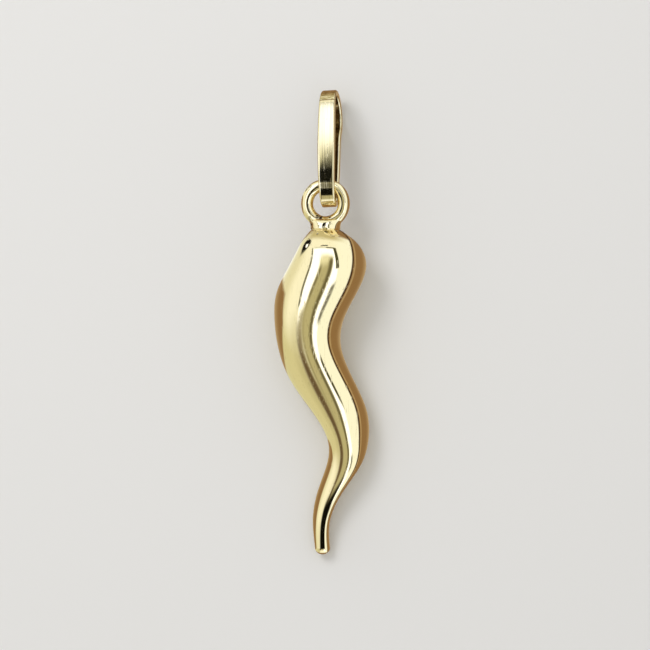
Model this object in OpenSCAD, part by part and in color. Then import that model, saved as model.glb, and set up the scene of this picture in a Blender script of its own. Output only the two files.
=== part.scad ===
// Horn pendant of polished yellow gold, lying on a flat surface: a hollow curved horn with a
// collar and an eyelet soldered to its dome, and a loose strip bail through the eyelet.
// Millimetres. The floor is z = 0, the bail's end points along +Y and the horn's swing along X.

/* [Horn] */
// Length of the horn from the seam under its collar to its tip
horn_l = 23.6; // [20:0.1:28]
// Width of the horn across its belly, which the bend below the dome widens
belly_w = 5.8; // [5:0.1:6.4]
// Furthest that the horn's centre line swings to one side
swing = 1.7; // [1:0.1:2.2]
// Wall of the hollow horn
wall_t = 0.25; // [0.2:0.05:0.4]

/* [Eyelet] */
// Width of the eyelet, outside
eyelet_w = 3.6; // [3.4:0.05:4]
// Thickness of the eyelet's wire
wire_t = 0.88; // [0.7:0.02:0.96]
// Width of the collar at its waist
collar_w = 2.2; // [1.8:0.02:2.3]
// Height of the collar
collar_h = 0.86; // [0.6:0.02:0.9]

/* [Bail] */
// Length of the bail's loop, outside
bail_l = 9.15; // [8:0.05:10]
// Depth of the loop at its wide end, outside
bail_d = 3.5; // [3:0.1:4]
// Depth of the loop at its narrow end, outside
neck_d = 1.96; // [1.9:0.02:2.2]
// Width of the strip half way along the bail
strip_w = 1.28; // [1:0.02:1.4]
// Width of the strip at the bail's two ends
strip_end_w = 1.1; // [0.9:0.02:1.2]
// Thickness of the strip
strip_t = 0.44; // [0.3:0.02:0.46]

/* [Rest] */
// Slope of the horn as it lies, with its dome end raised
rest_tilt = 6.4; // [5:0.1:8]
// How far the bail's neck lies aside in the eyelet
bail_aside = 0.24; // [0:0.02:0.26]
// Turn of the bail on the surface, seen from above
bail_turn = 2.6; // [0:0.2:4]

/* [Hidden] */

GOLD = "#e3cb8f";
PALE_GOLD = "#e9d6a4";

// Running clearance between the bail's strip and the eyelet's wire
clearance = 0.07;

// Level sections along the horn, in shares: how far down its length, how far aside in the swing,
// their width and depth in belly widths, and how far their ridge leans to +X in half widths
ALONG = 0;
ASIDE = 1;
WIDTH = 2;
DEPTH = 3;
LEAN = 4;
SECTIONS = [
    [0.00,  0.02, 0.40,  0.39,  0.00],
    [0.03,  0.15, 0.69,  0.67,  0.00],
    [0.07,  0.21, 0.88,  0.85,  0.00],
    [0.12,  0.08, 1.02,  0.95,  0.00],
    [0.19, -0.41, 1.05,  0.97,  0.00],
    [0.27, -0.77, 0.86,  0.88,  0.00],
    [0.36, -0.78, 0.77,  0.79,  0.00],
    [0.46, -0.22, 0.83,  0.71,  0.00],
    [0.55,  0.61, 0.71,  0.62, -0.16],
    [0.64,  1.08, 0.47,  0.53, -0.22],
    [0.72,  0.90, 0.46,  0.43,  0.12],
    [0.80,  0.20, 0.325, 0.33,  0.40],
    [0.89, -0.27, 0.205, 0.23,  0.40],
    [0.98, -0.13, 0.19,  0.19,  0.00],
];
LAST = len(SECTIONS) - 1;

horn_sides = 40;
horn_steps = 5;
tip_steps = 5;
cavity_sides = 24;
cavity_steps = 3;
// The horn is solid where half its cavity would be thinner than this
cavity_least = 0.25;

// A section's middle x, its y, half its width, half its depth and how far its ridge lies to +X
// of its middle, in millimetres from the seam
function section(i) =
    i < 0 ? 2 * section(0) - section(1) :
    i > LAST ? 2 * section(LAST) - section(LAST - 1) :
    let(s = SECTIONS[i], half_w = s[WIDTH] * belly_w / 2)
    [s[ASIDE] * swing, -s[ALONG] * horn_l, half_w, s[DEPTH] * belly_w / 2, s[LEAN] * half_w];

// Smooth curve drawn through the rows (a uniform cubic B-spline), at share t of span i
function b_spline(a, b, c, d, t) =
    ((1 - t) ^ 3 * a + (3 * t ^ 3 - 6 * t ^ 2 + 4) * b
        + (-3 * t ^ 3 + 3 * t ^ 2 + 3 * t + 1) * c + t ^ 3 * d) / 6;
function station(i, t) =
    b_spline(section(i - 1), section(i), section(i + 1), section(i + 2), t);

// Level ring of points at y, an ellipse half_w wide and half_d deep each way, pushed over so
// that its ridge lies aside of its middle and its lowest point as far the other way
function ring(x, y, half_w, half_d, aside, sides) =
    [for (k = [0:sides - 1])
        let(a = 360 * k / sides)
        [x + half_w * cos(a) + aside * sin(a), y, half_d * sin(a)]];

// Rings from the seam to the tip, which is rounded off as half an ellipsoid
tip = section(LAST);
tip_l = horn_l + tip.y;
horn_rings = concat(
    [for (i = [0:LAST - 1], k = [0:horn_steps - 1])
        let(s = station(i, k / horn_steps))
        ring(s.x, s.y, s.z, s[3], s[4], horn_sides)],
    [for (k = [0:tip_steps])
        let(a = 85 * k / tip_steps)
        ring(tip.x, tip.y - tip_l * sin(a), tip.z * cos(a), tip[3] * cos(a), 0, horn_sides)]
);
cavity_rings = [for (i = [0:LAST - 1], k = [0:cavity_steps - 1])
    let(s = station(i, k / cavity_steps), half_d = s[3] - wall_t, inner = half_d / s[3])
    if (-s.y > 2 * wall_t && half_d > cavity_least)
        ring(s.x, s.y, inner * s.z, half_d, inner * s[4], cavity_sides)];

// Closed skin over a row of rings, with flat ends, or joined end to end as a loop
module skin(rings, loop = false) {
    n = len(rings);
    sides = len(rings[0]);
    bands = [for (i = [0:(loop ? n - 1 : n - 2)], k = [0:sides - 1])
        let(next = (k + 1) % sides, j = (i + 1) % n)
        [i * sides + k, j * sides + k, j * sides + next, i * sides + next]];
    ends = [
        [for (k = [0:sides - 1]) k],
        [for (k = [sides - 1:-1:0]) (n - 1) * sides + k]
    ];
    polyhedron([for (r = rings) each r], loop ? bands : concat(bands, ends), convexity = 6);
}

// A point turned about X or about Z
function about_x(p, a) = [p.x, p.y * cos(a) - p.z * sin(a), p.y * sin(a) + p.z * cos(a)];
function about_z(p, a) = [p.x * cos(a) - p.y * sin(a), p.x * sin(a) + p.y * cos(a), p.z];

// How the horn lies: tilted about X, and lifted until its lowest point is on the floor
lying = [for (r = horn_rings, p = r) about_x(p, rest_tilt)];
lift = -min([for (p = lying) p.z]);

// The eyelet's lowest point stands this far over the seam, inside the collar
eyelet_seat = 0.2;
eyelet_r = (eyelet_w - wire_t) / 2;
eyelet_y = eyelet_w / 2 + eyelet_seat;

// The collar's foot in the dome, the solder groove round it, and its flared, eased top
collar_sink = 0.2;
groove_w = 0.96 * collar_w;
groove_h = 0.08;
flare_w = 1.13 * collar_w;
flare_from = 0.4 * collar_h;
flare_to = 0.8 * collar_h;
collar_edge = 0.1;

// Bail's loop in its own plane, on the strip's middle line: the narrow end's centre is at 0 and
// the wide end's at loop_l on the first axis. The front strand bows outward a little, and rounds
// over in a haunch down to the narrow end. The back strand runs straight from the narrow end,
// and sweeps out to the wide one.
wide_r = (bail_d - strip_t) / 2;
neck_r = (neck_d - strip_t) / 2;
loop_l = bail_l - bail_d / 2 - neck_d / 2;
// The bow starts where the wide end has turned this far
wide_a = 86;
bow_r = 24;
bow = [loop_l - (bow_r - wide_r) * cos(wide_a), -(bow_r - wide_r) * sin(wide_a)];
// The haunch's middle lies where its arc touches both the bow and the narrow end
haunch_r = 4.5;
bow_far = norm(bow);
haunch_along = (bow_far ^ 2 + (haunch_r - neck_r) ^ 2 - (bow_r - haunch_r) ^ 2) / (2 * bow_far);
haunch_aside = sqrt((haunch_r - neck_r) ^ 2 - haunch_along ^ 2);
haunch = (haunch_along * bow + haunch_aside * [-bow.y, bow.x]) / bow_far;
haunch_a = atan2(haunch.y - bow.y, haunch.x - bow.x);
neck_a = atan2(-haunch.y, -haunch.x);
sweep_r = 3;
sweep_x = loop_l - sqrt((wide_r + sweep_r) ^ 2 - (neck_r + sweep_r) ^ 2);
sweep_y = -neck_r - sweep_r;
sweep_a = atan2(-sweep_y, loop_l - sweep_x);

// Stops along the loop, each a point and the direction that is outward there
function arc_stops(centre, r, from, to, steps, side = 1) =
    [for (k = [0:steps - 1])
        let(a = from + (to - from) * k / steps, out = [cos(a), sin(a)])
        [centre + r * out, side * out]];
function line_stops(from, to, out, steps) =
    [for (k = [0:steps - 1]) [from + (to - from) * k / steps, out]];
loop_stops = concat(
    arc_stops([loop_l, 0], wide_r, sweep_a - 180, wide_a, 24),
    arc_stops(bow, bow_r, wide_a, haunch_a, 8),
    arc_stops(haunch, haunch_r, haunch_a, neck_a, 8),
    arc_stops([0, 0], neck_r, neck_a, 270, 16),
    line_stops([0, -neck_r], [sweep_x, -neck_r], [0, -1], 5),
    arc_stops([sweep_x, sweep_y], sweep_r, 90, sweep_a, 8, side = -1)
);

// Where the eyelet's wire lies inside the loop, with the bail hanging on it
wire_u = 0.56;
wire_v = haunch.y + sqrt((haunch_r - strip_t / 2 - clearance - wire_t / 2) ^ 2
    - (wire_u - haunch.x) ^ 2);
wire_at = about_x([0, eyelet_y + eyelet_r, 0], rest_tilt) + [0, 0, lift];

// Lean at which the bail's wide end comes down on the floor
lean = asin((wire_at.z - bail_d / 2) / norm([loop_l - wire_u, wire_v]))
    - atan2(wire_v, loop_l - wire_u);
neck_z = bail_d / 2 + loop_l * sin(lean);
neck_y = wire_at.y - wire_u * cos(lean) - wire_v * sin(lean);

// Cross-section of the strip: a rectangle with rounded corners, as width and thickness
corner_r = 0.14;
corner_steps = 3;
function strip_profile(w) =
    [for (q = [0:3], k = [0:corner_steps])
        let(a = 90 * (q + k / corner_steps), sx = q == 0 || q == 3 ? 1 : -1, sy = q < 2 ? 1 : -1)
        [sx * (w / 2 - corner_r) + corner_r * cos(a), sy * (strip_t / 2 - corner_r) + corner_r * sin(a)]];

// Ring of the strip at a stop, narrower toward both ends of the bail
function strip_ring(mid, out) =
    let(
        share = (mid.x + neck_r) / (loop_l + wide_r + neck_r),
        w = strip_end_w + (strip_w - strip_end_w) * sin(180 * max(0, min(1, share)))
    )
    [for (p = strip_profile(w)) [p.x, mid.x + p.y * out.x, mid.y + p.y * out.y]];

bail_rings = [for (s = loop_stops) strip_ring(s[0], s[1])];

// Middle of the whole pendant, seen from above, which is the origin
far_y = neck_y + max([for (r = bail_rings, p = r) about_z(about_x(p, -lean), bail_turn).y]);
middle = [
    (min([for (p = lying) p.x]) + max([for (p = lying) p.x])) / 2,
    (min([for (p = lying) p.y]) + far_y) / 2
];

// Hollow shell of the horn, in its own plane
module horn_shell() {
    difference() {
        skin(horn_rings);
        skin(cavity_rings);
    }
}

// Collar, waisted, with a fine groove where it is soldered to the dome
module collar() {
    rotate([-90, 0, 0])
        rotate_extrude($fn = 64)
            polygon([
                [0, -collar_sink],
                [groove_w / 2, -collar_sink],
                [groove_w / 2, groove_h],
                [collar_w / 2, 2 * groove_h],
                [collar_w / 2, flare_from],
                [flare_w / 2, flare_to],
                [flare_w / 2 - collar_edge, collar_h],
                [0, collar_h],
            ]);
}

module eyelet() {
    translate([0, eyelet_y, 0])
        rotate_extrude($fn = 96)
            translate([eyelet_r, 0])
                circle(d = wire_t, $fn = 48);
}

module horn() {
    color(GOLD)
        translate([-middle.x, -middle.y, lift])
            rotate([rest_tilt, 0, 0]) {
                horn_shell();
                collar();
                eyelet();
            }
}

module bail() {
    color(PALE_GOLD)
        translate([bail_aside - middle.x, neck_y - middle.y, neck_z])
            rotate([-lean, 0, bail_turn])
                skin(bail_rings, loop = true);
}

horn();
bail();
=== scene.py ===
# %% [markdown]
# # A gold horn pendant, lying on a pale floor
#
# The pendant is two pieces of polished gold. The horn is a hollow charm with a short collar and a
# round eyelet soldered to its dome. The bail is a loose closed loop of flat strip that hangs in
# the eyelet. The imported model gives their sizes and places, and this file gives them smooth
# surfaces, gold, light and a camera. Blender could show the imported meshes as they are, but a
# mirror finish shows every flat facet, so both pieces are worked out again here as fine grids.

import bpy
import numpy as np
from mathutils import Matrix, Vector


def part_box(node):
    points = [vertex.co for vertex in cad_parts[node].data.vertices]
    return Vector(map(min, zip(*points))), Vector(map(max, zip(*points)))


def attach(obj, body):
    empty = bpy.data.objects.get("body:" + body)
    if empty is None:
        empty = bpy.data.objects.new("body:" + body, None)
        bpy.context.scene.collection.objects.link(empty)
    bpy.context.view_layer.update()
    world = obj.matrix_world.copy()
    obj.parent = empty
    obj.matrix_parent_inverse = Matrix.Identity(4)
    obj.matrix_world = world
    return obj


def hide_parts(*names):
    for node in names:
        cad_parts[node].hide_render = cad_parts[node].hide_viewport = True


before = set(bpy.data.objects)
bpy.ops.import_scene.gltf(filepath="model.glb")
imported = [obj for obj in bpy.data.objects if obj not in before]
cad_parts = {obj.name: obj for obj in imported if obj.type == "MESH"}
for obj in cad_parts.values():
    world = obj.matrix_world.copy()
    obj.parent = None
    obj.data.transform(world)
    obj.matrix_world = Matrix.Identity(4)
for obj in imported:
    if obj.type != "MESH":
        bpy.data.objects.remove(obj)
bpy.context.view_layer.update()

# %% [markdown]
# ## Helpers for surfaces
#
# Every shape here is a grid of points: a row of rings, each with the same number of points. A
# mesh could be typed in as vertices and faces, but a grid is shorter to say, its faces follow
# from the counts alone, and numpy works it out in one go. The sizes are in millimetres, as a
# goldsmith would give them, and become metres where the mesh is made.

# %% Grids of points become meshes
MM = 0.001


def skin(name, rings, closed=False):
    """A closed mesh over rings of points, shaped (rings, sides, 3), in metres.

    Face (i, k) joins points k and k + 1 of ring i to the same points of ring i + 1. The two ends
    are closed with a fan round their middle points, or the last ring is joined to the first."""
    count, sides = rings.shape[:2]
    i, k = np.meshgrid(np.arange(count if closed else count - 1), np.arange(sides), indexing="ij")
    after_i, after_k = (i + 1) % count, (k + 1) % sides
    quads = np.stack([i * sides + k, after_i * sides + k,
                      after_i * sides + after_k, i * sides + after_k], axis=-1).reshape(-1, 4)
    points, faces = rings.reshape(-1, 3), quads.tolist()
    if not closed:
        first, last = count * sides, count * sides + 1
        points = np.vstack([points, rings[0].mean(axis=0), rings[-1].mean(axis=0)])
        around, end = np.arange(sides), (count - 1) * sides
        after = (around + 1) % sides
        faces += np.stack([around, after, np.full(sides, first)], axis=-1).tolist()
        faces += np.stack([end + after, end + around, np.full(sides, last)], axis=-1).tolist()
    mesh = bpy.data.meshes.new(name)
    mesh.from_pydata(points, [], faces)
    mesh.update()
    return mesh


def put(name, mesh):
    """An object of that mesh, at the origin, in the scene."""
    piece = bpy.data.objects.new(name, mesh)
    bpy.context.scene.collection.objects.link(piece)
    return piece


def volume(mesh):
    """Volume inside a closed mesh in mm3: a sixth of the sum of a . (b x c) over its triangles.
    It is positive when the faces point outwards."""
    mesh.calc_loop_triangles()
    points = np.zeros(len(mesh.vertices) * 3)
    mesh.vertices.foreach_get("co", points)
    corners = np.zeros(len(mesh.loop_triangles) * 3, dtype=int)
    mesh.loop_triangles.foreach_get("vertices", corners)
    a, b, c = (points.reshape(-1, 3)[corners.reshape(-1, 3)] / MM).transpose(1, 0, 2)
    return float(np.einsum("ij,ij->i", a, np.cross(b, c)).sum() / 6)


def turned(points, degrees, axis):
    """Points turned about X or Z by an angle, as a right-handed screw goes."""
    return points @ np.array(Matrix.Rotation(np.radians(degrees), 3, axis)).T


def b_spline(rows, steps):
    """Points on a smooth curve drawn through rows of control values (a uniform cubic B-spline).

    At share t between rows b and c, with a before and d after them, the value is
    ((1 - t)^3 a + (3t^3 - 6t^2 + 4) b + (-3t^3 + 3t^2 + 3t + 1) c + t^3 d) / 6. A row is added
    at either end, in line with the last two, so that the curve starts and ends on a row."""
    rows = np.vstack([2 * rows[0] - rows[1], rows, 2 * rows[-1] - rows[-2]])
    a, b, c, d = rows[:-3, None], rows[1:-2, None], rows[2:-1, None], rows[3:, None]
    t = (np.arange(steps) / steps)[None, :, None]
    spline = (1 - t)**3 * a + (3 * t**3 - 6 * t**2 + 4) * b
    spline = spline + (-3 * t**3 + 3 * t**2 + 3 * t + 1) * c + t**3 * d
    return spline.reshape(-1, rows.shape[1]) / 6


# %% [markdown]
# ## The horn
#
# The horn has no straight line in it. Its outline swings left and right twice while it gets
# thinner, like a chilli. It could be a curve with a bevel, but that has one width at each place,
# and the horn is wider than it is deep where it bends. So each row of a table gives one level
# section, and the spline draws the horn through them.

# %% Level sections of the horn
HORN_L, BELLY_W, SWING = 23.6, 5.8, 1.7
# How far along and aside, then the width and the depth, as shares of those three sizes, and how
# far the ridge leans to the right, as a share of the width
SECTIONS = np.array([
    [0.00,  0.02, 0.40,  0.39,  0.00],
    [0.03,  0.15, 0.69,  0.67,  0.00],
    [0.07,  0.21, 0.88,  0.85,  0.00],
    [0.12,  0.08, 1.02,  0.95,  0.00],
    [0.19, -0.41, 1.05,  0.97,  0.00],
    [0.27, -0.77, 0.86,  0.88,  0.00],
    [0.36, -0.78, 0.77,  0.79,  0.00],
    [0.46, -0.22, 0.83,  0.71,  0.00],
    [0.55,  0.61, 0.71,  0.62, -0.16],
    [0.64,  1.08, 0.47,  0.53, -0.22],
    [0.72,  0.90, 0.46,  0.43,  0.12],
    [0.80,  0.20, 0.325, 0.33,  0.40],
    [0.89, -0.27, 0.205, 0.23,  0.40],
    [0.98, -0.13, 0.19,  0.19,  0.00],
])
STEPS, SIDES = 28, 176
CROWN_H, CROWN_START, CROWN_RINGS = 0.42, 0.06, 14
TIP_RINGS = 25


def level_rings(sections, sides):
    """Level elliptical rings. A point at angle a is (x + w cos a + r sin a, y, d sin a), where a
    section is its middle x, its y, half its width w, half its depth d, and how far to the right
    its ridge leans, r."""
    a = np.linspace(0, 2 * np.pi, sides, endpoint=False)
    x, y, w, d, lean = sections.T[:, :, None]
    return np.stack([x + w * np.cos(a) + lean * np.sin(a), y + 0 * a, d * np.sin(a)], axis=-1)


along, aside, width, depth, lean = SECTIONS.T
rows = np.column_stack([aside * SWING, -along * HORN_L, width * BELLY_W / 2,
                        depth * BELLY_W / 2, lean * width * BELLY_W / 2])
body = b_spline(rows, STEPS)

# The crown goes on from the first section as a shallow dome, hidden under the collar. At a share s
# of the section's size it is CROWN_H (1 - s^2) high
share = np.linspace(CROWN_START, 1, CROWN_RINGS, endpoint=False)[:, None]
crown = np.hstack([np.full_like(share, rows[0, 0]), CROWN_H * (1 - share**2), share * rows[0, 2:]])

# The tip is half an ellipsoid, from its widest ring to its point
end = rows[-1]
a = np.radians(np.linspace(0, 90, TIP_RINGS, endpoint=False))[:, None]
tip = np.hstack([np.full_like(a, end[0]), end[1] - (HORN_L + end[1]) * np.sin(a),
                 np.cos(a) * end[2:]])

horn_rings = level_rings(np.vstack([crown, body, tip]), SIDES)
print("horn:", horn_rings.shape, "points")

# %% [markdown]
# ## How the pendant lies
#
# The pendant lies as it would by itself. The horn rests on its belly with the dome end raised,
# and the bail hangs on the eyelet's wire with its wide end on the floor. The place could be typed
# in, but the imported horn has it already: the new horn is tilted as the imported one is, and moved
# until its sides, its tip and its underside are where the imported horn's box has them.

# %% Where the horn lies
REST_TILT = 6.4
tilted = turned(horn_rings, REST_TILT, "X").reshape(-1, 3)
low, high = np.array(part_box("horn")) / MM
SEAM_AT = low - tilted.min(axis=0)
SEAM_AT[0] = (low[0] + high[0] - tilted[:, 0].min() - tilted[:, 0].max()) / 2
print("seam under the collar at", np.round(SEAM_AT, 3), "mm")


def lay_horn(points):
    """Points of the horn's own plane, laid on the floor: tilted about X, then moved, in metres."""
    return (turned(points, REST_TILT, "X") + SEAM_AT) * MM


# %% [markdown]
# ## The collar and the eyelet
#
# A short collar is soldered to the dome, and a ring of round wire stands on it. Both could be
# stock shapes from the Add menu, but the collar's slope and the ring's foot are what tell a
# jeweller's finding from a plain tube and a plain ring. Seen from above the collar flares toward
# the ring, and seen from the side it gets thinner, down to the wire. So its table gives a width
# and a depth for each height.

# %% The collar, level by level
# Height over the seam, half the width and half the depth: foot, solder groove, flank, rim, top
COLLAR = np.array([
    [-0.20, 0.90, 0.88],
    [-0.02, 1.03, 1.00],
    [0.07,  1.04, 1.01],
    [0.12,  1.05, 1.02],
    [0.15,  1.09, 1.06],
    [0.22,  1.09, 1.05],
    [0.36,  1.09, 0.99],
    [0.52,  1.12, 0.92],
    [0.66,  1.19, 0.85],
    [0.76,  1.24, 0.77],
    [0.86,  1.20, 0.62],
    [0.90,  0.95, 0.45],
    [0.90,  0.60, 0.30],
    [0.90,  0.10, 0.05],
])
COLLAR_STEPS, COLLAR_SIDES = 6, 160
height, wide, deep = b_spline(COLLAR, COLLAR_STEPS).T
collar = np.column_stack([0 * height, height, wide, deep, 0 * height])[::-1]
collar_rings = level_rings(collar, COLLAR_SIDES)
print("collar:", round(2 * wide.max(), 2), "mm wide,", round(2 * deep.max(), 2), "mm deep")

# %% [markdown]
# The eyelet is round wire bent to a ring. A torus from the Add menu has one thickness all the way
# round, but this wire is thicker across at its foot, where the solder has run up it. So the ring
# is worked out from its two angles, and the foot is one more factor in that formula.

# %% The eyelet's wire, carried round its ring
EYELET_W, WIRE_T, EYELET_SEAT = 3.6, 0.88, 0.2
RING_R = (EYELET_W - WIRE_T) / 2
EYELET_Y = EYELET_W / 2 + EYELET_SEAT
FOOT_SPREAD, FOOT_FROM = 0.34, 0.45


def eyelet(turns, sides):
    """A ring of round wire in the XY plane. At angle u round the ring and v round the wire, the
    point is (R + r cos v) from the ring's middle and f r sin v out of its plane. The factor f is
    1 + FOOT_SPREAD n^2, where n goes from 0 where -sin u is FOOT_FROM to 1 at the foot."""
    u = np.linspace(0, 2 * np.pi, turns, endpoint=False)[:, None]
    v = np.linspace(0, 2 * np.pi, sides, endpoint=False)[None, :]
    near = np.clip((-np.sin(u) - FOOT_FROM) / (1 - FOOT_FROM), 0, 1)
    out = RING_R + WIRE_T / 2 * np.cos(v)
    z = (1 + FOOT_SPREAD * near**2) * WIRE_T / 2 * np.sin(v)
    return np.stack([out * np.cos(u), EYELET_Y + out * np.sin(u), z + 0 * u], axis=-1)


eyelet_rings = eyelet(turns=200, sides=64)
print("eyelet: hole", round(EYELET_W - 2 * WIRE_T, 2), "mm across")

# %% [markdown]
# ## Soldered metal is one piece
#
# The horn, the collar and the eyelet are one piece once they are soldered. They could stay three
# meshes that sink into each other, but then the inside of each would still be there. A Boolean
# union with the exact solver leaves one closed skin, and the edges where the parts meet stay
# sharp, as a solder joint does.

# %% Horn, collar and eyelet joined
SHARP_A = 32


def joined(name, meshes):
    """One piece made of several closed meshes that overlap, by exact Boolean union."""
    piece = put(name, meshes[0])
    helpers = [put(name + "_helper", mesh) for mesh in meshes[1:]]
    for helper in helpers:
        union = piece.modifiers.new("Union", "BOOLEAN")
        union.operation, union.solver, union.object = "UNION", "EXACT", helper
    made = bpy.data.meshes.new_from_object(piece.evaluated_get(
        bpy.context.evaluated_depsgraph_get()))
    piece.modifiers.clear()
    piece.data = made
    for helper in helpers:
        bpy.data.objects.remove(helper)
    return piece


horn = joined("horn_and_eyelet", [
    skin("horn_body", lay_horn(horn_rings)),
    skin("collar", lay_horn(collar_rings)),
    skin("eyelet", lay_horn(eyelet_rings), closed=True),
])
horn.data.shade_smooth()
horn.data.set_sharp_from_angle(angle=np.radians(SHARP_A))
print("horn and eyelet:", len(horn.data.polygons), "faces,", round(volume(horn.data), 2), "mm3")

# %% [markdown]
# ## The bail
#
# The bail is flat strip bent into a closed drop: a narrow end in the eyelet, a wide end for the
# chain, a front strand that bows outward a little, and a back strand that runs straight and then
# sweeps out. It could be a bezier curve, but arcs and lines are how it is bent over pliers. Each
# stop on its middle line is a point and the direction that is outward there.

# %% The bail's middle line
BAIL_L, BAIL_D, NECK_D = 9.15, 3.5, 1.96
STRIP_W, STRIP_END_W, STRIP_T = 1.28, 1.1, 0.44
WIDE_R, NECK_R = (BAIL_D - STRIP_T) / 2, (NECK_D - STRIP_T) / 2
LOOP_L = BAIL_L - BAIL_D / 2 - NECK_D / 2
BOW_R, HAUNCH_R, SWEEP_R = 24, 4.5, 3
WIDE_A = 86

# Middles of the bow, the haunch and the sweep: each arc touches both of its neighbours without a
# corner, so their middles are as far apart as their radii differ (or add up to, for the sweep)
wide_a = np.radians(WIDE_A)
bow = np.array([LOOP_L - (BOW_R - WIDE_R) * np.cos(wide_a), -(BOW_R - WIDE_R) * np.sin(wide_a)])
bow_far = np.hypot(*bow)
haunch_along = (bow_far**2 + (HAUNCH_R - NECK_R)**2 - (BOW_R - HAUNCH_R)**2) / (2 * bow_far)
haunch_aside = np.sqrt((HAUNCH_R - NECK_R)**2 - haunch_along**2)
haunch = (haunch_along * bow + haunch_aside * np.array([-bow[1], bow[0]])) / bow_far
haunch_a = np.degrees(np.arctan2(*(haunch - bow)[::-1]))
neck_a = np.degrees(np.arctan2(*-haunch[::-1]))
sweep_x = LOOP_L - np.sqrt((WIDE_R + SWEEP_R)**2 - (NECK_R + SWEEP_R)**2)
sweep_y = -NECK_R - SWEEP_R
sweep_a = np.degrees(np.arctan2(-sweep_y, LOOP_L - sweep_x))


def arc(middle, radius, start, stop, count, side=1):
    """Stops round an arc, as rows of a point and its outward direction. The point at angle a is
    middle + radius (cos a, sin a), and side is -1 where outward is toward the middle."""
    a = np.radians(np.linspace(start, stop, count, endpoint=False))
    out = np.column_stack([np.cos(a), np.sin(a)])
    return np.hstack([np.array(middle) + radius * out, side * out])


def line(start, stop, out, count):
    """Stops along a straight line, all with the same outward direction."""
    t = np.linspace(0, 1, count, endpoint=False)[:, None]
    return np.hstack([(1 - t) * np.array(start) + t * np.array(stop), np.tile(out, (count, 1))])


# Each arc and line ends with its number of stops
stops = np.vstack([
    arc([LOOP_L, 0], WIDE_R, sweep_a - 180, WIDE_A, 120),
    arc(bow, BOW_R, WIDE_A, haunch_a, 80),
    arc(haunch, HAUNCH_R, haunch_a, neck_a, 50),
    arc([0, 0], NECK_R, neck_a, 270, 70),
    line([0, -NECK_R], [sweep_x, -NECK_R], [0, -1], 50),
    arc([sweep_x, sweep_y], SWEEP_R, 90, sweep_a, 50, side=-1),
])
steps_along = np.linalg.norm(np.roll(stops[:, :2], -1, axis=0) - stops[:, :2], axis=1)
print("bail:", len(stops), "stops,", round(steps_along.sum(), 2), "mm round")

# %% [markdown]
# The strip is a flat bar with softened edges, which catch the light as two bright lines. It
# could be a box with a Bevel modifier. A profile that is carried along the stops gives the same
# edges, and lets the strip get narrower toward both ends of the bail.

# %% The strip, carried along that line
CORNER_R = 0.14
CORNER_POINTS, FLAT_POINTS = 10, 8


def strip_profile():
    """A rounded rectangle that stands for width w and thickness t, as rows that hold the share
    of w, the share of t, and what is added to each in millimetres. A corner is a quarter of a
    circle of CORNER_R about a point that lies CORNER_R inside both sides. The rows go round
    clockwise, which turns the faces of the strip outwards."""
    parts = []
    for quarter, (sx, sy) in enumerate([(1, 1), (-1, 1), (-1, -1), (1, -1)]):
        a = np.radians(90 * quarter + np.linspace(0, 90, CORNER_POINTS))
        parts.append(np.column_stack([
            np.full_like(a, sx / 2), np.full_like(a, sy / 2),
            CORNER_R * (np.cos(a) - sx), CORNER_R * (np.sin(a) - sy)]))
    rows = []
    for here, after in zip(parts, parts[1:] + parts[:1]):
        t = np.linspace(0, 1, FLAT_POINTS + 2)[1:-1, None]
        rows += [here, (1 - t) * here[-1] + t * after[0]]
    return np.vstack(rows)[::-1]


def strip(stops):
    """The bar's rings. A profile point p across and q through the strip lies at p on the first
    axis, and at the stop's point plus q times its outward direction on the other two. At share s
    of the loop's length the strip is STRIP_END_W + (STRIP_W - STRIP_END_W) sin(180 s) wide."""
    point, out = stops[:, None, :2], stops[:, None, 2:]
    share = np.clip((point[..., 0] + NECK_R) / (LOOP_L + WIDE_R + NECK_R), 0, 1)
    width = STRIP_END_W + (STRIP_W - STRIP_END_W) * np.sin(np.pi * share)
    wide, thick, add_w, add_t = strip_profile().T
    across = wide * width + add_w
    through = (thick * STRIP_T + add_t)[None, :, None]
    return np.concatenate([across[..., None], point + through * out], axis=-1)


bail_rings = strip(stops)
print("strip:", bail_rings.shape[0], "rings of", bail_rings.shape[1], "points")

# %% [markdown]
# The bail's haunch hangs on the eyelet's wire, and its wide end comes down until it touches the
# floor. That gives the lean: the wide end's middle must be as high as the loop is deep there.

# %% Where the bail lies
# The gap over the wire, how far along the loop the wire is, and how the loop has slid and turned
CLEARANCE, WIRE_U = 0.07, 0.56
BAIL_ASIDE, BAIL_TURN = 0.24, 2.6
wire_v = haunch[1] + np.sqrt((HAUNCH_R - STRIP_T / 2 - CLEARANCE - WIRE_T / 2)**2
                             - (WIRE_U - haunch[0])**2)
wire_at = lay_horn(np.array([0, EYELET_Y + RING_R, 0])) / MM
lean = (np.arcsin((wire_at[2] - BAIL_D / 2) / np.hypot(LOOP_L - WIRE_U, wire_v))
        - np.arctan2(wire_v, LOOP_L - WIRE_U))
neck_at = np.array([SEAM_AT[0] + BAIL_ASIDE,
                    wire_at[1] - WIRE_U * np.cos(lean) - wire_v * np.sin(lean),
                    BAIL_D / 2 + LOOP_L * np.sin(lean)])
placed = turned(turned(bail_rings, -np.degrees(lean), "X"), BAIL_TURN, "Z") + neck_at
bail = put("bail_loop", skin("bail_loop", placed * MM, closed=True))
bail.data.shade_smooth()
print("bail:", len(bail.data.polygons), "faces,", round(volume(bail.data), 2), "mm3, leaning",
      round(float(np.degrees(lean)), 2), "degrees")

# %% [markdown]
# ## Gold
#
# Polished gold is a metal with a warm base colour and a very low roughness. What makes it real is
# what is left on the mirror: hairlines from cloth and skin, a slight waviness from polishing by
# hand, and small changes in gloss. They could be painted as an image, but a pattern that the
# shader works out from object coordinates needs no picture and has no seams.

# %% A finish, built node by node


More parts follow.
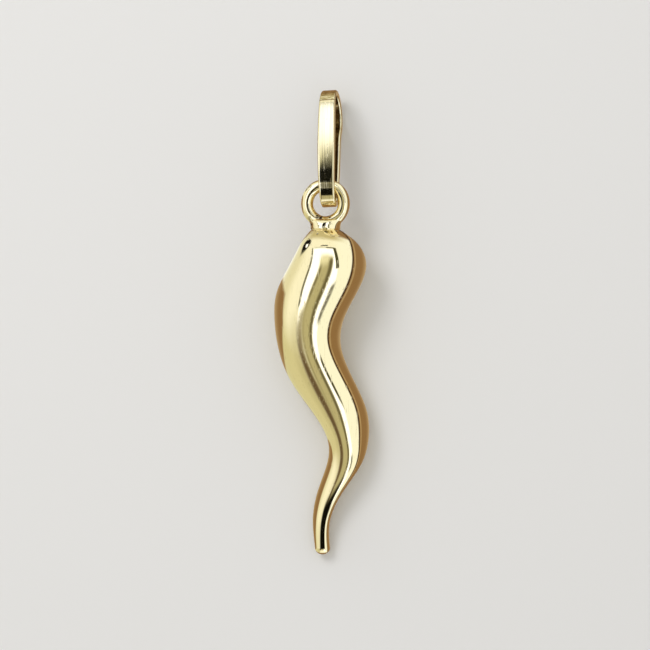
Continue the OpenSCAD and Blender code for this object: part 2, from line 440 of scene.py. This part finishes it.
class Finish:
    """A metal finish that is being built: its colour and its normal so far, and helpers that each
    add a node and give back one of its outputs. Sizes are in millimetres."""

    def __init__(self, name, colour):
        self.made = bpy.data.materials.new(name)
        self.made.use_nodes = True
        self.tree = self.made.node_tree
        self.shader = self.tree.nodes["Principled BSDF"]
        self.shader.inputs["Metallic"].default_value = 1
        self.colour, self.normal = (*colour, 1), None

    def add(self, kind, out, inputs, **settings):
        """Output out of a new node, whose inputs are set to values or wired to other outputs."""
        node = self.tree.nodes.new("ShaderNode" + kind)
        for key, value in settings.items():
            setattr(node, key, value)
        for key, value in inputs.items():
            self.fill(node.inputs[key], value)
        return node.outputs[out]

    def fill(self, socket, value):
        """Wires the socket to another node's output, or sets it to a plain value."""
        if isinstance(value, bpy.types.NodeSocket):
            self.tree.links.new(value, socket)
        else:
            socket.default_value = value

    def maths(self, operation, *values):
        """Sums and comparisons, point by point."""
        return self.add("Math", 0, dict(enumerate(values)), operation=operation)

    def noise(self, where, scale=1.0, detail=2.0):
        """A soft random pattern between 0 and 1, with scale blobs or so to each step of where."""
        return self.add("TexNoise", 0, {"Vector": where, "Scale": scale, "Detail": detail})

    def ramp(self, value, start, stop, low=0.0, high=1.0):
        """Goes from low, where the value is start, to high, where it is stop."""
        return self.add("MapRange", 0, {"Value": value, "From Min": start, "From Max": stop,
                                        "To Min": low, "To Max": high})

    def stretched(self, where, size, turn=(0, 0, 0)):
        """Coordinates that go up by one for each size, so that noise is drawn out by it."""
        return self.add("Mapping", 0, {"Vector": where, "Rotation": turn,
                                       "Scale": tuple(1 / s for s in size)})

    def relief(self, height, depth):
        """Raises the surface by depth where height is 1, or sinks it where depth is negative."""
        inputs = {"Height": height, "Distance": abs(depth) * MM}
        if self.normal:
            inputs["Normal"] = self.normal
        self.normal = self.add("Bump", 0, inputs, invert=depth < 0)

    def tint(self, colour, share):
        """Moves the colour toward another one by a share."""
        self.colour = self.add("Mix", 2, {0: share, 6: self.colour, 7: (*colour, 1)},
                               data_type="RGBA")

    def done(self):
        """Gives the shader its colour and its normal, and gives back the material."""
        self.fill(self.shader.inputs["Base Color"], self.colour)
        self.fill(self.shader.inputs["Normal"], self.normal)
        return self.made


# %% [markdown]
# Both pieces start from the same polish. Its roughness changes in soft patches and goes up along
# the hairlines, which run two ways, as they do on a charm that swings on a chain and is wiped.
# The hairlines are noise that is drawn out along one direction, and only its crests are kept.

# %% Hand polish with hairlines
WORN_GOLD = (0.80, 0.66, 0.38)
# Direction in degrees, how far apart the hairlines are and how long, in millimetres
HAIRLINES = [[25, 0.12, 4], [-48, 0.10, 3]]
# How they slant about X and Y, in radians, and where in the noise a line starts and is full
HAIRLINE_SLANT, HAIRLINE_CREST = (0.3, 0.2), (0.64, 0.74)
HAIRLINE_DEPTH, HAIRLINE_ROUGH, HAIRLINE_WORN = 0.0015, 0.14, 0.5
# Patches and ripples to the millimetre, where in the noise a patch starts and is full
PATCH_SCALE, PATCH_CREST, PATCH_ROUGH = 0.45, (0.35, 0.7), 0.04
RIPPLE_SCALE = 0.7


def polished(name, colour, roughness, ripple):
    """Gold of a colour, with ripples that deep. A patch adds up to PATCH_ROUGH to the roughness,
    and a hairline adds HAIRLINE_ROUGH."""
    finish = Finish(name, colour)
    where = finish.stretched(finish.add("TexCoord", "Object", {}), (MM, MM, MM))
    lines = 0
    for turn, apart, length in HAIRLINES:
        slant = (*HAIRLINE_SLANT, np.radians(turn))
        drawn = finish.noise(finish.stretched(where, (apart, length, apart), slant))
        lines = finish.maths("MAXIMUM", lines, finish.ramp(drawn, *HAIRLINE_CREST))
    patches = finish.ramp(finish.noise(where, PATCH_SCALE, detail=3), *PATCH_CREST,
                          roughness, roughness + PATCH_ROUGH)
    rough = finish.maths("MULTIPLY_ADD", lines, HAIRLINE_ROUGH, patches)
    finish.fill(finish.shader.inputs["Roughness"], rough)
    finish.relief(finish.noise(where, RIPPLE_SCALE, detail=1), ripple)
    finish.relief(lines, -HAIRLINE_DEPTH)
    finish.tint(WORN_GOLD, finish.maths("MULTIPLY", lines, HAIRLINE_WORN))
    return finish, where


# %% [markdown]
# The solder round the collar's foot keeps a few pinholes. They could be modelled one by one,
# but they are smaller than a tenth of a millimetre. They are the crests of a finer noise, kept
# only near the seam, sunk a little and darkened almost to black.

# %% The horn's gold
HORN_GOLD, HORN_ROUGH, HORN_RIPPLE = (0.92, 0.78, 0.47), 0.03, 0.005
PINHOLE, HOLE_DEPTH = (0.05, 0.03, 0.02), 0.02
# Holes to the millimetre, where in the noise a hole starts and is full, and how far from the
# seam's middle the holes end and are all there
HOLE_SCALE, HOLE_CREST, HOLE_REACH = 2.3, (0.59, 0.64), (1.85, 1.15)


def horn_gold():
    """The polish, with pinholes that are crests of noise times how near the seam a point is."""
    finish, where = polished("polished_gold", HORN_GOLD, HORN_ROUGH, HORN_RIPPLE)
    far = finish.add("VectorMath", "Value", {0: where, 1: tuple(SEAM_AT)}, operation="DISTANCE")
    crests = finish.ramp(finish.noise(where, HOLE_SCALE), *HOLE_CREST)
    holes = finish.maths("MULTIPLY", finish.ramp(far, *HOLE_REACH), crests)
    finish.relief(holes, -HOLE_DEPTH)
    finish.tint(PINHOLE, holes)
    return finish.done()


# %% [markdown]
# The strip was drawn through a plate and bent, so its lines run along it. Hairlines made from
# object coordinates would cross it. The strip has a UV map instead: along it and round it, both
# in millimetres. The map also places the solder seam where the loop was closed.

# %% A map along the strip
along_mm = np.concatenate([[0], np.cumsum(steps_along)])
profile = strip_profile()
ring = profile[:, :2] * [STRIP_W, STRIP_T] + profile[:, 2:]
steps_around = np.linalg.norm(np.roll(ring, -1, axis=0) - ring, axis=1)
around_mm = np.concatenate([[0], np.cumsum(steps_around)])
i, k = np.meshgrid(np.arange(len(stops)), np.arange(len(ring)), indexing="ij")
corners = np.stack([along_mm[[i, i + 1, i + 1, i]], around_mm[[k, k, k + 1, k + 1]]], axis=-1)
strip_map = bail.data.uv_layers.new(name="along_strip")
strip_map.data.foreach_set("uv", corners.transpose(1, 2, 0, 3).ravel())
# The profile starts with a flat and a corner. Its next flat is the strip's inner face
corner_ends = FLAT_POINTS + CORNER_POINTS - 1
inner_from, inner_to = around_mm[[corner_ends, corner_ends + FLAT_POINTS + 1]]
print("strip:", round(along_mm[-1], 2), "mm along,", round(around_mm[-1], 2), "mm round,",
      "its inner face", round(inner_from, 2), "to", round(inner_to, 2))

# %% [markdown]
# The loop was closed with solder near the top of its front strand. A fine groove is left there,
# and the metal beyond it, over the top of the bend, was filed and not polished again. Dirt stays
# in the drawn lines, in the groove and on the filed metal, where a cloth doesn't reach. The inner
# face of the loop is darkened almost to black: this is painted shade, for the shade that falls
# between the strands of so narrow a loop.

# %% The bail's gold
STRIP_GOLD, STRIP_ROUGH, STRIP_RIPPLE = (0.92, 0.79, 0.49), 0.06, 0.002
# The painted shade's colour and share on the inner face, and how far outside and inside the face's
# ends its edge lies
INNER_FACE_SHADE, INNER_SHADE_SHARE, INNER_SHADE_OUT, INNER_SHADE_IN = (0.17, 0.11, 0.05), 0.85, 0.1, 0.05
# Size of a drawn line and a file mark along and round the strip, and how high they stand
DRAWN_LINE, DRAWN_H = (10, 0.14, 1), 0.006
FILE_MARK, FILE_H = (0.15, 0.7, 1), 0.06
# The solder seam's place along the strip, half its width, its depth, and where the filing ends
SOLDER_AT, GROOVE_HALF, GROOVE_DEPTH, FILED_TO = 5.37, 0.06, 0.03, 4.6
# Where in the noise the dirt starts and is full, and its most in the drawn lines
DIRTY_GOLD = (0.58, 0.48, 0.24)
FILED_DIRT, DRAWN_DIRT, DRAWN_MOST = (0.42, 0.6), (0.45, 0.68), 0.5


def strip_gold():
    """The polish, with lines along the strip, a groove at SOLDER_AT along it and rough metal from
    there to FILED_TO. The inner face is darkened with painted shade."""
    finish, _ = polished("strip_gold", STRIP_GOLD, STRIP_ROUGH, STRIP_RIPPLE)
    place = finish.add("UVMap", 0, {}, uv_map="along_strip")
    around = finish.add("SeparateXYZ", 1, {"Vector": place})
    # Painted shade: the strip's inner face is darkened almost to black, for the shade between the
    # strands
    inside = finish.maths("MULTIPLY",
                          finish.ramp(around, inner_from - INNER_SHADE_OUT, inner_from + INNER_SHADE_IN),
                          finish.ramp(around, inner_to + INNER_SHADE_OUT, inner_to - INNER_SHADE_IN))
    finish.tint(INNER_FACE_SHADE, finish.maths("MULTIPLY", inside, INNER_SHADE_SHARE))
    drawn = finish.noise(finish.stretched(place, DRAWN_LINE), detail=3)
    finish.relief(drawn, DRAWN_H)
    along = finish.add("SeparateXYZ", 0, {"Vector": place})
    off = finish.maths("ABSOLUTE", finish.maths("SUBTRACT", along, SOLDER_AT))
    groove = finish.ramp(off, GROOVE_HALF, 0)
    finish.relief(groove, -GROOVE_DEPTH)
    filed = finish.maths("MULTIPLY", finish.maths("LESS_THAN", along, SOLDER_AT),
                         finish.maths("GREATER_THAN", along, FILED_TO))
    marks = finish.noise(finish.stretched(place, FILE_MARK), detail=4)
    finish.relief(finish.maths("MULTIPLY", marks, filed), FILE_H)
    dirt = finish.maths("MULTIPLY", filed, finish.ramp(marks, *FILED_DIRT))
    dirt = finish.maths("MAXIMUM", finish.maths("MAXIMUM", dirt, groove),
                        finish.ramp(drawn, *DRAWN_DIRT, 0, DRAWN_MOST))
    finish.tint(DIRTY_GOLD, dirt)
    return finish.done()


# %% [markdown]
# Each new piece rides on the part's one body, stands in for its imported node, and gets its
# gold.

# %% The pieces get their gold and their place in the part
horn.data.materials.clear()
horn.data.materials.append(horn_gold())
bail.data.materials.append(strip_gold())
for piece, node, slot in [(horn, "horn", "horn_gold"), (bail, "bail", "bail_gold")]:
    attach(piece, "root")
    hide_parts(node)
    print(piece.name, "stands for", node, "in slot", slot)

# %% [markdown]
# ## The camera
#
# The camera looks straight at the horn's own plane, turned a little to one side, so that the
# bail's back strand shows beside its front strand. A close camera would enlarge what is near it,
# so it stands far back with a long lens, as is usual for small jewellery.

# %% A camera square to the horn's plane
SIDE_TURN = 10
DISTANCE, SENSOR = 300, 36
PIXELS, PIXELS_A_MM = 650, 13.7
# The picture's middle, to the right of the seam and up from it
FRAME_RIGHT, FRAME_UP = -0.036, -6.86

side = np.radians(SIDE_TURN)
axes = np.array([[np.cos(side), 0, -np.sin(side)], [0, 1, 0], [np.sin(side), 0, np.cos(side)]])
right, up, back = turned(axes, REST_TILT, "X")
target = SEAM_AT + FRAME_RIGHT * right + FRAME_UP * up
camera_data = bpy.data.cameras.new("camera")
camera_data.sensor_width = SENSOR
camera_data.lens = SENSOR * DISTANCE / (PIXELS / PIXELS_A_MM)
camera_data.clip_start, camera_data.clip_end = 0.01, 10
camera = put("camera", camera_data)
place = Matrix(np.column_stack([right, up, back]).tolist()).to_4x4()
place.translation = Vector(((target + DISTANCE * back) * MM).tolist())
camera.matrix_world = place
bpy.context.scene.camera = camera
print("camera at", np.round(camera.location, 3), "m, lens", round(camera_data.lens, 1), "mm")

# %% [markdown]
# ## Floor and soft light
#
# The pendant lies on a plain pale floor. An even sky lights the floor, and one broad lamp over
# the pendant's left shoulder gives it a soft shadow. The lamp doesn't show in the gold, where it
# would be one more white square.

# %% A pale floor, a soft sky and one lamp
FLOOR_HALF = 1.5
FLOOR_COLOUR, FLOOR_ROUGH = (0.80, 0.79, 0.77, 1), 0.6
SKY_COLOUR, SKY_STRENGTH = (1, 0.99, 0.97, 1), 0.68
LAMP_W, LAMP_POWER = 0.12, 0.22
LAMP_FROM = np.array([-0.10, 0.12, 0.22])

floor = put("floor", bpy.data.meshes.new("floor"))
floor_corners = np.array([(-1, -1, 0), (1, -1, 0), (1, 1, 0), (-1, 1, 0)]) * FLOOR_HALF
floor.data.from_pydata(floor_corners, [], [(0, 1, 2, 3)])
floor.data.materials.append(bpy.data.materials.new("pale_floor"))
floor.data.materials[0].use_nodes = True
floor_shader = floor.data.materials[0].node_tree.nodes["Principled BSDF"]
floor_shader.inputs["Base Color"].default_value = FLOOR_COLOUR
floor_shader.inputs["Roughness"].default_value = FLOOR_ROUGH
floor.visible_glossy = False

sky = bpy.data.worlds.new("soft_sky")
sky.use_nodes = True
sky_shader = sky.node_tree.nodes["Background"]
sky_shader.inputs["Color"].default_value = SKY_COLOUR
sky_shader.inputs["Strength"].default_value = SKY_STRENGTH
bpy.context.scene.world = sky
bpy.context.scene.view_settings.view_transform = "Standard"

lamp_data = bpy.data.lights.new("soft_lamp", "AREA")
lamp_data.size, lamp_data.energy = LAMP_W, LAMP_POWER
lamp = put("soft_lamp", lamp_data)
lamp.location = LAMP_FROM
lamp.rotation_euler = Vector(LAMP_FROM).to_track_quat("Z", "Y").to_euler()
lamp.visible_glossy = False
print("lamp:", LAMP_POWER, "W,", round(float(np.linalg.norm(LAMP_FROM)), 2), "m away")

# %% [markdown]
# ## What the gold mirrors
#
# A mirror finish shows nothing of its own, only what is round it, so the light is planned as what
# the gold sees in each direction. A jeweller's photographer does this with a light tent: white
# cloth and cards, with gaps and dark cards between them that draw lines on the metal. A few area
# lights could stand for them, but their edges would be hard and all alike. This tent is one large
# shell whose glow is worked out for each direction, and every card in it is one row of a table.
#
# A direction is given as how many degrees it lies to the right of the camera's axis and how many
# above it. So the tent covers all directions, out to 180 degrees, which is right under the floor.

# %% Colours of cloth and cards
WHITE = np.array([1.60, 1.75, 2.15])
CREAM = np.array([1.08, 1.14, 1.14])
PALE = np.array([1.10, 1.20, 1.28])
TAN = np.array([0.72, 0.73, 0.53])
OVERHEAD = np.array([0.62, 0.58, 0.38])
LINE = np.array([0.08, 0.08, 0.04])
OLIVE = np.array([0.54, 0.53, 0.36])
OLIVE_PALE = np.array([0.95, 0.98, 0.80])
OLIVE_DARK = np.array([0.16, 0.15, 0.09])
BROWN = np.array([0.15, 0.11, 0.07])
BLACK = np.array([0.01, 0.01, 0.01])
ROOM = np.array([0.30, 0.19, 0.10])
ROOM_PALE = np.array([0.50, 0.38, 0.24])
ROOM_DARK = np.array([0.06, 0.03, 0.02])

# Each card: its colour and how much of it shows, how far it leans to the left for each degree
# upward, its left and right ends and how soft they are, and its lower and upper ends likewise
CARDS = [
    (PALE,       1.0, 0.00,   20, 200,  40, -110, 110, 10),
    (OVERHEAD,   1.0, 0.00,  -90,  40,  60,   86, 200, 16),
    (TAN,        0.6, 0.00, -130, -84,  30, -110, 110, 10),
    (TAN,        1.0, 0.00, -160, -40,  14, -130, -16, 24),
    (OLIVE,      0.6, 0.00,  -62, -30,  26,  -80, -16, 24),
    (WHITE,      1.0, 0.26,  -42,  29,   2,  -12,  57,  4),
    (WHITE,      1.0, 0.26,    0,  29,   2,  -70,  -8,  8),
    (LINE,       0.9, 0.26,  -45, -40, 2.5,   -8,  58,  4),
    (LINE,       1.0, 0.26,   24,  33, 2.5,    4,  59,  4),
    (LINE,       0.9, 0.26,   22,  31,   6,  -42, -21,  8),
    (LINE,       0.9, 0.00,  -12,  13,   6,   56,  60,  2),
    (LINE,       0.3, 0.00,  -52, -12,   6,   56,  60,  2),
    (OLIVE,      1.0, 0.10,  -22,  13,   6,  -48,  37, 18),
    (OLIVE_PALE, 1.0, 0.10,  -22,   2,  12,   22,  40, 20),
    (OLIVE,      1.0, 0.00,  -34, -16,   6,  -48, -13,  8),
    (OLIVE_DARK, 1.0, 0.10,    3,  13,   8,  -48,  30, 12),
    (OLIVE_DARK, 0.8, 0.10,  -21, -15,   6,  -12,  22, 14),
    (BROWN,      1.0, 0.00,  -42, -22,  12,  -48, -14,  8),
]

# %% [markdown]
# The cards hang in a tent of cream cloth. It ends in a clean line on the right, and on the left
# it reaches further round above and below the pendant than beside it. Past its ends is the dark
# of the room, which gives the gold its brown flanks. The edges could be hard steps, but a card
# that is near is never quite sharp in a mirror, so every edge here has a width of its own.

# %% Soft edges in numbers


def ramp(x, start, soft):
    """0 below start, 1 above start + soft, and a smooth S between: 3t^2 - 2t^3."""
    t = np.clip((x - start) / soft, 0, 1)
    return t * t * (3 - 2 * t)


def band(x, low, high, soft):
    """1 from low to high, and 0 outside, with edges that are soft wide."""
    return ramp(x, low - soft / 2, soft) * ramp(-x, -high - soft / 2, soft)


def mix(a, b, share):
    """Colour a where the share is 0 and b where it is 1: a + (b - a) share."""
    return a + (b - a) * share[..., None]


def oval(x, y, middle, half_long, half_wide, lean, soft):
    """1 inside an oval, whose long axis leans up by an angle: a point is inside where the sum of
    the squares of its shares of both half sizes is under 1."""
    a = np.radians(lean)
    x, y = x - middle[0], y - middle[1]
    far = np.hypot((x * np.cos(a) + y * np.sin(a)) / half_long,
                   (y * np.cos(a) - x * np.sin(a)) / half_wide)
    return ramp(-far, -1 - soft / 2, soft)


print("an edge 4 degrees wide, degree by degree:", ramp(np.arange(-3, 4), -2, 4).round(2))

# %% [markdown]
# With those edges, the light from each direction is worked out in layers, as a painter would do
# it: the cream cloth, the cards on it, a round black hole with a bright spot high on the left,
# and last the room wherever the cloth has ended.

# %% What each direction shows
# Two ovals: the middle, half the length and half the width, the lean, and how soft the edge is
DARK_HOLE = ((-86, 72), 20, 13, 23, 0.3)
BRIGHT_SPOT = ((-84, 67), 5, 4, 0, 0.4)
# The room beyond the right end has a dark band and a pale one, and it is paler far out all round
DARK_BAND, PALE_BAND, FAR_ROUND = (71, 80, 5), (82, 88, 5), (115, 50)
# The cloth's left end, how much further it reaches for each degree below and above the middle,
# from where to how many degrees on, then its right end and its lower and upper ends
LEFT_END, LEFT_SOFT, LEFT_REACH = -97, 10, 0.8
BELOW_FROM, BELOW_ON, ABOVE_FROM, ABOVE_ON = -10, 60, 20, 70
RIGHT_END, RIGHT_SOFT = 75, 5
CLOTH_UP_DOWN = (-105, 104, 14)


def cloth(x, y):
    """1 where the cloth is and 0 past its ends. The left end lies at LEFT_END - LEFT_REACH (b + a)
    where y is b degrees under BELOW_FROM or a degrees over ABOVE_FROM, up to the given limits."""
    lower, upper = np.clip(BELOW_FROM - y, 0, BELOW_ON), np.clip(y - ABOVE_FROM, 0, ABOVE_ON)
    left_end = LEFT_END - LEFT_REACH * (lower + upper)
    across = ramp(x - left_end, -LEFT_SOFT / 2, LEFT_SOFT) * ramp(-x, -RIGHT_END, RIGHT_SOFT)
    return across * band(y, *CLOTH_UP_DOWN)


def tent_light(x, y):
    """Light from x degrees right and y degrees up: the cards over the cream cloth, in order, a
    black hole with a bright spot, and the room where the cloth ends."""
    light = np.broadcast_to(CREAM, (*x.shape, 3))
    for colour, shows, lean, left, right_end, soft, low, high, soft_y in CARDS:
        share = band(x + lean * y, left, right_end, soft) * band(y, low, high, soft_y)
        light = mix(light, colour, shows * share)
    light = mix(light, BLACK, oval(x, y, *DARK_HOLE))
    light = mix(light, WHITE, oval(x, y, *BRIGHT_SPOT))
    room = mix(ROOM, ROOM_DARK, band(x, *DARK_BAND))
    room = mix(room, ROOM_PALE, band(x, *PALE_BAND) + ramp(np.abs(x), *FAR_ROUND))
    return mix(room, light, cloth(x, y))


print("light that comes from the camera:", tent_light(np.zeros(1), np.zeros(1))[0].round(2))

# %% [markdown]
# The shell is a grid of rings round the camera's axis. Its glow is kept in the mesh as one colour
# for each point, and the material only gives that colour off. It shows in mirrors and nowhere
# else, so it neither lights the floor nor hides it.

# %% The tent
TENT_R, TENT_STEP = 300, 0.5


def light_grid(name, points, light):
    """A mesh over an open grid of points in metres, with a light colour at each point."""
    rows, columns = points.shape[:2]
    i, k = np.meshgrid(np.arange(rows - 1), np.arange(columns - 1), indexing="ij")
    corner = (i * columns + k).reshape(-1, 1)
    mesh = bpy.data.meshes.new(name)
    mesh.from_pydata(points.reshape(-1, 3), [], (corner + [0, columns, columns + 1, 1]).tolist())
    colours = mesh.attributes.new("light", "FLOAT_COLOR", "POINT")
    colours.data.foreach_set("color", np.dstack([light, np.ones(points.shape[:2])]).ravel())
    return mesh


def made_of_light(name):
    """A material with nothing in it but the grid's light colour and the output."""
    made = bpy.data.materials.new(name)
    made.use_nodes = True
    nodes = made.node_tree.nodes
    nodes.clear()
    light = nodes.new("ShaderNodeAttribute")
    light.name, light.attribute_name = "light", "light"
    nodes.new("ShaderNodeOutputMaterial").name = "shown"
    return made, nodes, made.node_tree.links


def only_in_mirrors(thing):
    """The thing lights nothing, and shows only where polished metal mirrors it."""
    thing.visible_camera = thing.visible_diffuse = thing.visible_shadow = False
    thing.visible_transmission = thing.visible_volume_scatter = False


# A point of the shell is away degrees from the camera's axis, at the angle aim round it
away, aim = np.meshgrid(np.linspace(0, 180, round(180 / TENT_STEP) + 1),
                        np.linspace(0, 360, round(360 / TENT_STEP) + 1), indexing="ij")
x, y = away * np.cos(np.radians(aim)), away * np.sin(np.radians(aim))
away, aim = np.radians(away), np.radians(aim)
toward = np.stack([np.sin(away) * np.cos(aim), np.sin(away) * np.sin(aim), np.cos(away)], axis=-1)
shell = target + TENT_R * toward @ np.stack([right, up, back])
tent = put("light_tent", light_grid("light_tent", shell * MM, tent_light(x, y)))
glow, nodes, links = made_of_light("tent_light")
emit = nodes.new("ShaderNodeEmission")
links.new(nodes["light"].outputs["Color"], emit.inputs["Color"])
links.new(emit.outputs["Emission"], nodes["shown"].inputs["Surface"])
tent.data.materials.append(glow)
only_in_mirrors(tent)
print("tent:", len(tent.data.polygons), "faces,", len(CARDS), "cards")

# %% [markdown]
# A few small dark cards hang just above the pendant. A card of the tent is far off, so it would
# show in every bend that faces it. These are near, so each shows mostly in the part that is below
# it: three across the bail's foot, and one along the tip. Their sides fade out, as the edge of a
# card does when it is too near to be sharp. The middle one at the bail is thin cloth, so it only
# dims what is behind it.

# %% Small dark cards above the bail and the tip
NEAR_BLACK = (0.005, 0.005, 0.003, 1)
CARD_POINTS = 33
# Each card: its middle, its width and its length, the shares of it that fade out at its left,
# right, lower and upper sides, its slope, and its darkness
DARK_CARDS = {
    "bail_card_upper": ((-0.60, 8.90, 6.67), 2.5, 10.8, (0.1, 0.1, 0.03, 0.72), 0.466, 1.0),
    "bail_card_middle": ((-0.40, 3.15, 3.98), 2.1, 0.70, (0.1, 0.1, 0.02, 0.02), 0.466, 0.55),
    "bail_card_lower": ((-0.39, 2.15, 3.76), 2.1, 1.3, (0.1, 0.1, 0.10, 0.10), 0.3, 1.0),
    "tip_card": ((0.9, -22.2, 4.0), 7.0, 5.4, (0.15, 0.15, 0.15, 0.3), 0.0, 1.0),
}


def dark_card(name, middle, width, length, fades, slope, darkness):
    """A flat dark card at a point of the horn's frame, width across and length along it, all in
    millimetres, which gets higher by slope for each millimetre along. It fades out toward its
    left, right, lower and upper sides, each over its own share of the card, and hides a share of
    what is behind it: its darkness."""
    share = np.linspace(0, 1, CARD_POINTS)
    u, v = np.meshgrid(share, share, indexing="ij")
    flat = np.stack([middle[0] + width * (u - 0.5), middle[1] + length * (v - 0.5),
                     middle[2] + slope * length * (v - 0.5)], axis=-1)
    sides = zip([u, 1 - u, v, 1 - v], fades)
    shade = darkness * np.prod([ramp(inward, 0, fade) for inward, fade in sides], axis=0)
    card = put(name, light_grid(name, lay_horn(flat), np.dstack([shade] * 3)))
    made, nodes, links = made_of_light(name)
    clear, dark = nodes.new("ShaderNodeBsdfTransparent"), nodes.new("ShaderNodeEmission")
    dark.inputs["Color"].default_value = NEAR_BLACK
    blend = nodes.new("ShaderNodeMixShader")
    links.new(nodes["light"].outputs["Fac"], blend.inputs["Fac"])
    links.new(clear.outputs["BSDF"], blend.inputs[1])
    links.new(dark.outputs["Emission"], blend.inputs[2])
    links.new(blend.outputs["Shader"], nodes["shown"].inputs["Surface"])
    card.data.materials.append(made)
    only_in_mirrors(card)
    print(name, "hangs", round(float(lay_horn(flat)[..., 2].min()) / MM, 1), "mm over the floor")


for name, sizes in DARK_CARDS.items():
    dark_card(name, *sizes)
